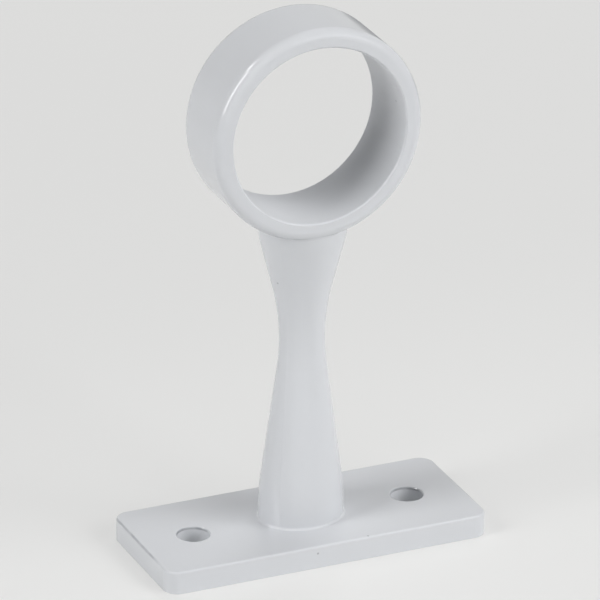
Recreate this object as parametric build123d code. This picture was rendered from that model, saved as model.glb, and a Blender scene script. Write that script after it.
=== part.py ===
from build123d import *
from math import atan2, degrees, hypot
import os

# Centre pole bracket: one casting with a screw plate, an oval waisted stem and a ring for the pole.
# Millimetres. The origin is the middle of the plate's mounting face, Z runs up the stem,
# X along the plate and Y along the pole.

# Ring
pole_diameter = 25.0
pole_clearance = 0.25       # radial gap that lets the pole slide through
pole_height = 62.4          # pole axis above the mounting face
ring_wall = 2.6
ring_depth = 11.4           # along the pole
ring_edge_radius = 1.3      # outer edges, front and rear
bore_chamfer = 0.2
face_flat = 0.15            # least flat left on the ring's front and rear faces

# Plate
plate_length = 48.5
plate_width = 20.7
plate_thickness = 3.3
plate_corner_radius = 2.2   # seen from above
plate_edge_radius = 0.3     # round the top face
screw_inset = 8.0           # hole centres from the plate's ends
screw_hole_diameter = 4.6
screw_chamfer = 0.15

# Stem: widths along X, depth along Y
foot_width = 12.2
foot_land = 4.2             # upright stretch above the plate
foot_blend = 30.0           # rounds the land into the lower taper
foot_fillet = 0.35          # stem to plate
waist_drop = 14.65          # from the ring's underside to where the two tapers would meet
waist_width = 5.6           # and the section they would meet in
waist_depth = 3.4
waist_blend = 32.0          # rounds the tapers into each other
neck_width = 12.5
neck_land = 1.1             # upright stretch below the ring
neck_blend = 6.0            # rounds the upper taper into the land
neck_fillet = 0.45          # stem to ring

bore_radius = pole_diameter / 2 + pole_clearance
ring_radius = bore_radius + ring_wall
ring_bottom = pole_height - ring_radius


def make_plate():
    outline = RectangleRounded(plate_length, plate_width, plate_corner_radius)
    holes = GridLocations(plate_length - 2 * screw_inset, 0, 2, 1) * Circle(screw_hole_diameter / 2)
    slab = extrude(outline - holes, plate_thickness)
    top = slab.faces().sort_by(Axis.Z)[-1]
    slab = fillet(top.outer_wire().edges(), plate_edge_radius)
    top = slab.faces().sort_by(Axis.Z)[-1]
    rims = [edge for wire in top.inner_wires() for edge in wire.edges()]
    return chamfer(rims, screw_chamfer)


def make_ring():
    # Wall section on the +X side, turned about the pole axis
    wall = Pos(bore_radius + ring_wall / 2, 0) * Rectangle(ring_wall, ring_depth)
    wall = chamfer(wall.vertices().group_by(Axis.X)[0], bore_chamfer)
    rounding = min(ring_edge_radius, ring_wall - bore_chamfer - face_flat)
    wall = fillet(wall.vertices().group_by(Axis.X)[-1], rounding)
    return Pos(0, 0, pole_height) * revolve(wall, Axis.Y)


def stem_outline(centre):
    # Half outline of the stem in the XZ plane, its X measured from an upright axis at the given centre
    foot, waist, neck = (width / 2 - centre for width in (foot_width, waist_width, neck_width))
    side = FilletPolyline(
        (foot, 0, 0),
        (foot, 0, plate_thickness + foot_land),
        (waist, 0, ring_bottom - waist_drop),
        (neck, 0, ring_bottom - neck_land),
        (neck, 0, pole_height),
        radius=(foot_blend, waist_blend, neck_blend),
    )
    close = Polyline((neck, 0, pole_height), (0, 0, pole_height), (0, 0, 0), (foot, 0, 0))
    return make_face([side, close])


def make_stem():
    # An oval of four arcs about the same centres at every height: two ends, and a front and a back.
    # The end arcs are as tight as an ellipse's of the waist's width and depth.
    half_width, half_depth = waist_width / 2, waist_depth / 2
    end_centre = half_width - half_depth**2 / half_width
    reach = half_depth - half_depth**2 / half_width
    face_centre = (end_centre**2 - reach**2) / (2 * reach)
    turn = degrees(atan2(face_centre, end_centre))
    end = revolve(stem_outline(end_centre), Axis.Z, 2 * turn)
    end = Pos(end_centre, 0, 0) * Rot(0, 0, -turn) * end
    back = revolve(stem_outline(end_centre - hypot(end_centre, face_centre)), Axis.Z, 180 - 2 * turn)
    back = split(Pos(0, -face_centre, 0) * Rot(0, 0, turn) * back, Plane.XZ, Keep.BOTTOM)
    oval = end + mirror(end, Plane.YZ) + back + mirror(back, Plane.XZ)
    # The neck ends halfway into the ring's wall
    hollow = Cylinder(bore_radius + ring_wall / 2, neck_width, rotation=(90, 0, 0))
    return oval - Pos(0, 0, pole_height) * hollow


def make_bracket():
    body = make_plate() + make_stem()
    plate_top = body.faces().filter_by(Plane.XY).sort_by(Axis.Z)[-1]
    foot_line = plate_top.inner_wires().sort_by_distance(plate_top.center())[0]
    body = fillet(foot_line.edges(), foot_fillet)
    ring = make_ring()
    bracket = body + ring
    return fillet(new_edges(body, ring, combined=bracket), neck_fillet)


os.makedirs("parts", exist_ok=True)
export_step(make_bracket(), "parts/pole_bracket.step")
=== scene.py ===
import bpy
from math import cos, radians, sin
from mathutils import Matrix, Vector

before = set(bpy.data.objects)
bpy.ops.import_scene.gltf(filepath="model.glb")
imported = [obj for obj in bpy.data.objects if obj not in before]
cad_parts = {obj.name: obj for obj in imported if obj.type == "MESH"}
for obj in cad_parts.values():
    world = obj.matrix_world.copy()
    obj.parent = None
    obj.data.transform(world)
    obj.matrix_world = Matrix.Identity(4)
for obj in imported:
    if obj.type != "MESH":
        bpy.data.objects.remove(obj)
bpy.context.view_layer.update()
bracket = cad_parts["pole_bracket"]
mm = 0.001
smooth = {"interpolation_type": "SMOOTHSTEP"}
print("frame loaded:", len(bracket.data.polygons), "faces")


def hexToLinear(code):
    levels = [int(code[i:i + 2], 16) / 255 for i in (1, 3, 5)]
    return [v / 12.92 if v <= 0.04045 else ((v + 0.055) / 1.055) ** 2.4 for v in levels] + [1.0]


def addNode(tree, kind, settings={}, inputs={}):
    # A socket in inputs gets linked, anything else is set as the value.
    # A Mix node's two numbers are its inputs 2 and 3, and its two colours 6 and 7.
    node = tree.nodes.new(kind)
    for name, value in settings.items():
        setattr(node, name, value)
    for socket, value in inputs.items():
        if isinstance(value, bpy.types.NodeSocket):
            tree.links.new(value, node.inputs[socket])
        else:
            node.inputs[socket].default_value = value
    return node


def newMaterial(name):
    material = bpy.data.materials.new(name)
    material.use_nodes = True
    material.node_tree.nodes.clear()
    return material, material.node_tree


def wayFromBracket(around, up):
    # degrees from the front towards the right, and degrees up
    turn, lift = radians(around), radians(up)
    return Vector((sin(turn) * cos(lift), -cos(turn) * cos(lift), sin(lift)))


# White stoved enamel on a zinc casting, sprayed and baked: a hard even gloss with a slight orange peel,
# grey lines along the plate's end edges and the hole rims, fading out towards the front, and a few dust
# nibs
enamel = {
    "white": "#D7D9DD",
    "shade": "#D3D5D8",         # where the coat is a little thinner
    "markGrey": "#777A80",         # dark grey of the edge lines and of the nibs
    "ior": 1.5,
    "roughness": (0.15, 0.20),
    "boreRoughness": 0.40,      # a drier overspray inside the ring
    "poleHeight": 62.4,         # mm, from the mounting face to the ring's axis
    "boreRadius": 12.9,         # mm, just past the wall
    "shadeSize": 14.0,          # mm, patches of thinner coat
    "shadeNoise": (0.3, 0.7),   # noise levels that take the roughness from least to most
    "peelSize": 1.6,            # mm, a little coarser than real so that it shows in the glints
    "peelHeight": 0.003,        # mm
    "patchSize": 2.5,           # mm, breaks up the grey lines
    "patchNoise": (0.35, 0.6),  # noise levels that take a line from faintest to full
    "patchLeast": 0.55,         # share of a line that is left where it is faintest
    # grey lines, in mm: the edge's place across and up, the line's width, the depth over which it comes in,
    # and then how much grey shows
    "endLine": {"across": 24.16, "up": 3.21, "width": 0.26, "fade": (-7.5, -2.5), "greyShare": 0.5},
    # the rim line keeps to the back of each hole, just under its top
    "rimLine": {"across": 2.33, "up": 3.08, "width": 0.27, "fade": (-0.3, 1.5), "greyShare": 0.8},
    "holeX": 16.25,             # mm from the stem's axis
    "nibs": [                   # mm, dust under the coat
        (-4.26, -1.36, 39.81),
        (12.58, -2.56, 64.44),
        (-1.95, -10.35, 2.23),
        (5.77, -10.0, 3.28),
    ],
    "nibSize": 0.22,            # mm
    "nibBare": 0.55,
}


def closeTo(tree, place, spot, reach):
    # 1 in a core round the spot and 0 from the reach on, in mm
    core = 0.3 * reach
    off = addNode(tree, "ShaderNodeVectorMath", {"operation": "DISTANCE"}, {
        0: place, 1: [v * mm for v in spot]})
    return addNode(tree, "ShaderNodeMapRange", smooth, {
        "Value": off.outputs["Value"], "From Min": reach * mm, "From Max": core * mm,
        "To Min": 0.0, "To Max": 1.0}).outputs[0]


def greyEdgeLine(tree, section, depth, line):
    # grey along an edge, fading out towards the front
    near = closeTo(tree, section, (line["across"], 0, line["up"]), line["width"])
    fadeFrom, fadeTo = line["fade"]
    fade = addNode(tree, "ShaderNodeMapRange", smooth, {
        "Value": depth, "From Min": fadeFrom * mm, "From Max": fadeTo * mm,
        "To Min": 0.0, "To Max": line["greyShare"]}).outputs[0]
    return addNode(tree, "ShaderNodeMath", {"operation": "MULTIPLY"}, {0: near, 1: fade}).outputs[0]


def greyMarks(tree, place, axes):
    # share of grey that shows: both ends of the plate and both holes, then the nibs
    away = addNode(tree, "ShaderNodeMath", {"operation": "ABSOLUTE"}, {0: axes["X"]}).outputs[0]
    endSection = addNode(tree, "ShaderNodeCombineXYZ", {}, {"X": away, "Z": axes["Z"]}).outputs[0]
    ends = greyEdgeLine(tree, endSection, axes["Y"], enamel["endLine"])
    holePlan = addNode(tree, "ShaderNodeCombineXYZ", {}, {"X": away, "Y": axes["Y"]}).outputs[0]
    holeOff = addNode(tree, "ShaderNodeVectorMath", {"operation": "DISTANCE"}, {
        0: holePlan, 1: (enamel["holeX"] * mm, 0, 0)}).outputs["Value"]
    rimSection = addNode(tree, "ShaderNodeCombineXYZ", {}, {"X": holeOff, "Z": axes["Z"]}).outputs[0]
    rims = greyEdgeLine(tree, rimSection, axes["Y"], enamel["rimLine"])
    lines = addNode(tree, "ShaderNodeMath", {"operation": "MAXIMUM"}, {0: ends, 1: rims}).outputs[0]

    breakUp = addNode(tree, "ShaderNodeTexNoise", {}, {
        "Vector": place, "Scale": 1 / (enamel["patchSize"] * mm), "Detail": 3.0})
    faintest, full = enamel["patchNoise"]
    patchy = addNode(tree, "ShaderNodeMapRange", {}, {
        "Value": breakUp.outputs["Fac"], "From Min": faintest, "From Max": full,
        "To Min": enamel["patchLeast"], "To Max": 1.0}).outputs[0]
    greyShare = addNode(tree, "ShaderNodeMath", {"operation": "MULTIPLY"}, {0: lines, 1: patchy}).outputs[0]
    for nib in enamel["nibs"]:
        speck = addNode(tree, "ShaderNodeMath", {"operation": "MULTIPLY"}, {
            0: closeTo(tree, place, nib, enamel["nibSize"]), 1: enamel["nibBare"]}).outputs[0]
        greyShare = addNode(tree, "ShaderNodeMath", {"operation": "MAXIMUM"}, {0: greyShare, 1: speck}).outputs[0]
    return greyShare


def makeEnamel():
    material, tree = newMaterial("whiteStovedEnamel")
    place = addNode(tree, "ShaderNodeTexCoord").outputs["Object"]
    axes = addNode(tree, "ShaderNodeSeparateXYZ", {}, {"Vector": place}).outputs
    drift = addNode(tree, "ShaderNodeTexNoise", {}, {
        "Vector": place, "Scale": 1 / (enamel["shadeSize"] * mm), "Detail": 2.0}).outputs["Fac"]
    coat = addNode(tree, "ShaderNodeMix", {"data_type": "RGBA"}, {
        "Factor": drift, 6: hexToLinear(enamel["white"]), 7: hexToLinear(enamel["shade"])})
    colour = addNode(tree, "ShaderNodeMix", {"data_type": "RGBA"}, {
        "Factor": greyMarks(tree, place, axes), 6: coat.outputs[2], 7: hexToLinear(enamel["markGrey"])})

    peel = addNode(tree, "ShaderNodeTexNoise", {}, {
        "Vector": place, "Scale": 1 / (enamel["peelSize"] * mm), "Detail": 1.0})
    relief = addNode(tree, "ShaderNodeBump", {}, {
        "Height": peel.outputs["Fac"], "Strength": 1.0, "Distance": enamel["peelHeight"] * mm})

    # the gloss drifts with the coat, and the bore keeps to its own
    noiseLow, noiseHigh = enamel["shadeNoise"]
    least, most = enamel["roughness"]
    gloss = addNode(tree, "ShaderNodeMapRange", {}, {
        "Value": drift, "From Min": noiseLow, "From Max": noiseHigh, "To Min": least, "To Max": most})
    ringSection = addNode(tree, "ShaderNodeCombineXYZ", {}, {"X": axes["X"], "Z": axes["Z"]}).outputs[0]
    poleOff = addNode(tree, "ShaderNodeVectorMath", {"operation": "DISTANCE"}, {
        0: ringSection, 1: (0, 0, enamel["poleHeight"] * mm)})
    inBore = addNode(tree, "ShaderNodeMath", {"operation": "LESS_THAN"}, {
        0: poleOff.outputs["Value"], 1: enamel["boreRadius"] * mm})
    roughness = addNode(tree, "ShaderNodeMix", {"data_type": "FLOAT"}, {
        "Factor": inBore.outputs[0], 2: gloss.outputs[0], 3: enamel["boreRoughness"]})

    paint = addNode(tree, "ShaderNodeBsdfPrincipled", {}, {
        "Base Color": colour.outputs[2], "Roughness": roughness.outputs[0],
        "Normal": relief.outputs[0], "IOR": enamel["ior"]})
    addNode(tree, "ShaderNodeOutputMaterial", {}, {"Surface": paint.outputs[0]})
    return material


bracket.data.materials[0] = makeEnamel()
print("enamel on", bracket.name)

# Sheet of pale matt paper on a table, in an evenly pale room. The eye sees the sheet nearly even, with
# painted light making it lighter in front and part of the bracket's shadow on it, and the gloss sees
# painted shade: dim far off to the right and behind.
studio = {
    "sheetRadius": 0.60,        # m
    "sheetCorners": 96,
    "sheetDrop": 0.05,          # mm below the plate
    "paper": "#EFEFEE",
    "seen": "#DEDEDD",          # sheet and room as the eye sees them
    "paintedFrontLift": 1.10,          # painted light: how much lighter the sheet is in front
    "frontReach": (-0.02, 0.09),   # m, depth where that begins to fade and where it ends
    "dim": 0.2,                 # painted shade: level of the far part in the gloss
    "dimWay": (0.8, 0.6, 0),    # where the far part lies
    "dimReach": (0.13, 0.22),   # m that way, where the sheet goes from pale to dim
    "shadowShare": (0.45, 0.0),    # of the sheet's own light and shade, at the bracket and far from it
    "shadowReach": (0.08, 0.30),   # m
}


def seenBy(tree, rays):
    # 1 for what the eye sees, straight or by way of gloss or glass
    eyeOrGloss = addNode(tree, "ShaderNodeMath", {"operation": "MAXIMUM"}, {
        0: rays["Is Camera Ray"], 1: rays["Is Glossy Ray"]}).outputs[0]
    return addNode(tree, "ShaderNodeMath", {"operation": "MAXIMUM"}, {
        0: eyeOrGloss, 1: rays["Is Transmission Ray"]}).outputs[0]


def makePaper():
    material, tree = newMaterial("palePaper")
    rays = addNode(tree, "ShaderNodeLightPath").outputs
    place = addNode(tree, "ShaderNodeTexCoord").outputs["Object"]
    depth = addNode(tree, "ShaderNodeSeparateXYZ", {}, {0: place}).outputs["Y"]
    # painted light: the sheet made lighter in front
    fadeFrom, fadeTo = studio["frontReach"]
    front = addNode(tree, "ShaderNodeMapRange", smooth, {
        "Value": depth, "From Min": fadeFrom, "From Max": fadeTo,
        "To Min": studio["paintedFrontLift"], "To Max": 1.0})
    # painted shade for the gloss alone: the sheet made dim far off to the right and behind
    farOff = addNode(tree, "ShaderNodeVectorMath", {"operation": "DOT_PRODUCT"}, {
        0: place, 1: studio["dimWay"]})
    paleTo, dimFrom = studio["dimReach"]
    paintedGlossDim = addNode(tree, "ShaderNodeMapRange", smooth, {
        "Value": farOff.outputs["Value"], "From Min": paleTo, "From Max": dimFrom,
        "To Min": 1.0, "To Max": studio["dim"]})
    level = addNode(tree, "ShaderNodeMix", {"data_type": "FLOAT"}, {
        "Factor": rays["Is Glossy Ray"], 2: front.outputs[0], 3: paintedGlossDim.outputs[0]})
    even = addNode(tree, "ShaderNodeEmission", {}, {
        "Color": hexToLinear(studio["seen"]), "Strength": level.outputs[0]})

    # the seen look, with its painted light in front and its painted shade in the gloss, takes over from the
    # matt sheet away from the bracket
    matt = addNode(tree, "ShaderNodeBsdfDiffuse", {}, {"Color": hexToLinear(studio["paper"])})
    off = addNode(tree, "ShaderNodeVectorMath", {"operation": "LENGTH"}, {0: place})
    near, far = studio["shadowReach"]
    nearShare, farShare = studio["shadowShare"]
    fade = addNode(tree, "ShaderNodeMapRange", smooth, {
        "Value": off.outputs["Value"], "From Min": near, "From Max": far,
        "To Min": 1 - nearShare, "To Max": 1 - farShare})
    share = addNode(tree, "ShaderNodeMath", {"operation": "MULTIPLY"}, {
        0: seenBy(tree, rays), 1: fade.outputs[0]})
    both = addNode(tree, "ShaderNodeMixShader", {}, {
        0: share.outputs[0], 1: matt.outputs[0], 2: even.outputs[0]})
    addNode(tree, "ShaderNodeOutputMaterial", {}, {"Surface": both.outputs[0]})
    return material


def makeRoom():
    world = bpy.data.worlds.new("paleRoom")
    world.use_nodes = True
    tree = world.node_tree
    tree.nodes.clear()
    rays = addNode(tree, "ShaderNodeLightPath").outputs
    sky = addNode(tree, "ShaderNodeBackground", {}, {
        "Color": hexToLinear(studio["seen"]), "Strength": seenBy(tree, rays)})
    addNode(tree, "ShaderNodeOutputWorld", {}, {"Surface": sky.outputs[0]})
    return world


bpy.ops.object.select_all(action="DESELECT")
bpy.ops.mesh.primitive_circle_add(
    vertices=studio["sheetCorners"], radius=studio["sheetRadius"], fill_type="NGON",
    location=(0, 0, -studio["sheetDrop"] * mm))
sheet = bpy.context.object
sheet.name = "paperSheet"
sheet.data.materials.append(makePaper())
bpy.context.scene.world = makeRoom()
print("paper sheet and room")

# Soft lamps round the bracket: degrees from the front towards the right, degrees up, width and height in m.
# The panels and the spot are what the gloss shows, the others light the paint.
lights = {
    "leftPanel": {"around": -74, "up": 28, "size": (0.28, 0.85), "watts": 6.8, "inGloss": True},
    "leftSpot": {"around": -108, "up": 50, "size": (0.16, 0.16), "watts": 2.4, "inGloss": True},
    "rightPanel": {"around": 34, "up": 18, "size": (1.00, 0.40), "watts": 1.6, "inGloss": True},
    "leftSoftbox": {"around": -84, "up": 28, "size": (0.45, 0.85), "watts": 8.2, "inGloss": False},
    "leftReflector": {"around": -92, "up": 8, "size": (0.40, 0.30), "watts": 0.5, "inGloss": False},
    "rightSoftbox": {"around": 35, "up": 22, "size": (1.00, 0.70), "watts": 9.1, "inGloss": False},
    "highFill": {"around": 58, "up": 44, "size": (0.50, 0.50), "watts": 2.6, "inGloss": False},
    "topFill": {"around": -20, "up": 72, "size": (0.50, 0.50), "watts": 1.9, "inGloss": False},
    "rearFill": {"around": 143, "up": 50, "size": (0.60, 0.50), "watts": 3.3, "inGloss": False},
}
lampAim = Vector((0, 0, 36 * mm))
lampDistance = 1.2              # m
for name, light in lights.items():
    bpy.ops.object.light_add(type="AREA")
    lamp = bpy.context.object
    lamp.name = name
    lamp.data.shape = "RECTANGLE"
    lamp.data.size, lamp.data.size_y = light["size"]
    lamp.data.energy = light["watts"]
    lamp.visible_glossy = light["inGloss"]
    lamp.visible_diffuse = not light["inGloss"]
    towards = wayFromBracket(light["around"], light["up"])
    lamp.location = lampAim + towards * lampDistance
    lamp.rotation_euler = towards.to_track_quat("Z", "Y").to_euler()
print("lights:", ", ".join(lights))

# Camera at the photograph's angle: the bracket seen from the front left and above, a long lens far off
camera = {
    "around": -24.044,          # degrees, as for the lamps
    "up": 24.126,
    "roll": 0.427,
    "aim": (-0.283, 0.126, 35.957),   # mm
    "away": 878.77,             # mm
    "lens": 383.985,            # mm, on a 36 mm sensor
}
back = wayFromBracket(camera["around"], camera["up"])
spot = (Vector(camera["aim"]) + back * camera["away"]) * mm
turned = back.to_track_quat("Z", "Y").to_matrix() @ Matrix.Rotation(radians(camera["roll"]), 3, "Z")
bpy.ops.object.camera_add()
viewer = bpy.context.object
viewer.matrix_world = Matrix.Translation(spot) @ turned.to_4x4()
viewer.data.lens = camera["lens"]
bpy.context.scene.camera = viewer
bpy.context.scene.view_settings.view_transform = "Standard"
print("camera set")
